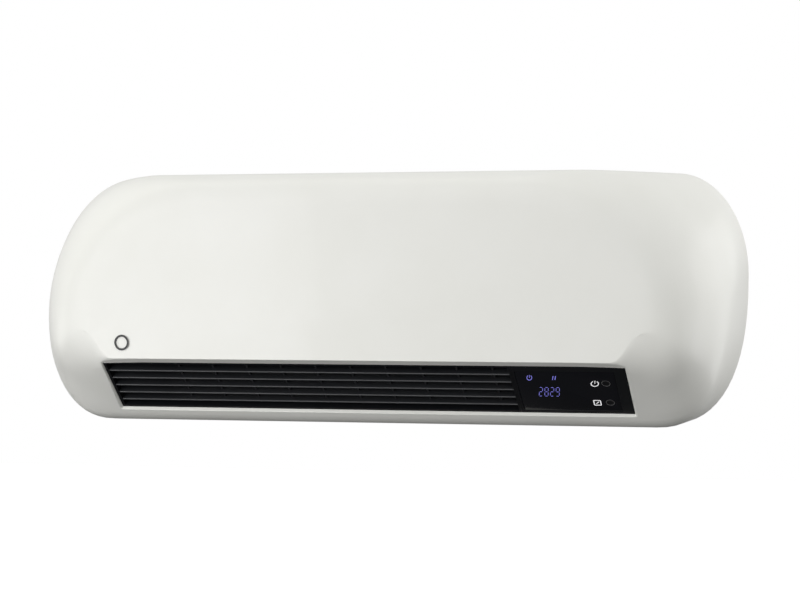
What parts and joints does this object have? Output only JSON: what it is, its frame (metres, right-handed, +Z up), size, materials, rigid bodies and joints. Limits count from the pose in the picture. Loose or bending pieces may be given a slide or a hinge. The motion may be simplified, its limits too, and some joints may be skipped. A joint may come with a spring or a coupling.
{
  "type": "fan convector heater",
  "caption": "Wall-hung fan convector heater: white pillow-shaped casing, tilted black outlet grille with a digital display beside it, cross-flow fan and ceramic heater inside.",
  "frame": {"origin": "centre of the flat back face, which lies against the wall", "axes": "+X along the casing, +Y into the wall, +Z up"},
  "size_m": [0.5456, 0.118, 0.188],
  "materials": {
    "shell_white": "satin moulded ABS",
    "cover_white": "matt moulded ABS",
    "grille_white": "matt moulded ABS",
    "screw_steel": "zinc plated",
    "filter_grey": "matt",
    "filter_mesh": "woven nylon mesh",
    "panel_black": "satin black",
    "slat_black": "fine texture",
    "bezel_black": "satin black",
    "lens_smoke": "polished smoked acrylic",
    "button_black": "matt",
    "switch_dark": "matt",
    "board_green": "solder mask",
    "module_dark": "matt",
    "fin_aluminium": "bare",
    "ceramic_white": "unglazed",
    "holder_brown": "heat resistant",
    "terminal_brass": "bare",
    "duct_dark": "matt flame-retardant",
    "rubber_black": "matt",
    "bush_bronze": "sintered",
    "rotor_plastic": "glass-filled",
    "shaft_steel": "ground",
    "bracket_zinc": "zinc plated",
    "motor_steel": "zinc plated",
    "relay_blue": "matt",
    "capacitor_yellow": "matt",
    "terminal_white": "matt",
    "cutout_brown": "heat resistant"
  },
  "bodies": {
    "casing": {"front_shell": "shell_white", "rear_cover": "cover_white", "case_screws": "screw_steel", "intake_grille": "grille_white", "filter_frame": "filter_grey", "filter_mesh": "filter_mesh", "outlet_frame": "panel_black", "outlet_louvre": "slat_black", "display_bezel": "bezel_black", "display_lens": "lens_smoke", "power_switch": "switch_dark", "timer_switch": "switch_dark", "display_board": "board_green", "digit_module": "module_dark", "infrared_receiver": "module_dark", "heater_fins": "fin_aluminium", "ceramic_bars": "ceramic_white", "heater_holder_left": "holder_brown", "heater_holder_right": "holder_brown", "heater_terminals": "terminal_brass", "outlet_duct": "duct_dark", "scroll_housing": "duct_dark", "fan_tongue": "duct_dark", "end_plate_left": "duct_dark", "end_plate_right": "duct_dark", "bearing_rubber": "rubber_black", "bearing_bush": "bush_bronze", "motor_bracket": "bracket_zinc", "fan_motor": "motor_steel", "motor_screws": "screw_steel", "control_board": "board_green", "board_screws": "screw_steel", "relays": "relay_blue", "capacitor": "capacitor_yellow", "power_converter": "module_dark", "terminal_block": "terminal_white", "inlet_bush": "rubber_black", "thermal_cutout": "cutout_brown"},
    "fan": {"fan_rotor": "rotor_plastic", "rotor_hub_left": "rubber_black", "rotor_hub_right": "rubber_black", "fan_stub_shaft": "shaft_steel", "motor_shaft": "shaft_steel"},
    "power_key": {"power_button": "button_black"},
    "timer_key": {"timer_button": "button_black"}
  },
  "joints": [
    {"name": "fan_spin", "type": "hinge", "parent": "casing", "child": "fan", "pos_m": [-0.03, -0.044, 0.005], "axis": [1, 0, 0], "continuous": true},
    {"name": "power_press", "type": "slide", "parent": "casing", "child": "power_key", "axis": [0, 0.6561, 0.7547], "range_m": [0, 0.0005], "stiffness_N_per_m": 400, "springref_m": -0.0002},
    {"name": "timer_press", "type": "slide", "parent": "casing", "child": "timer_key", "axis": [0, 0.6561, 0.7547], "range_m": [0, 0.0005], "stiffness_N_per_m": 400, "springref_m": -0.0002}
  ]
}
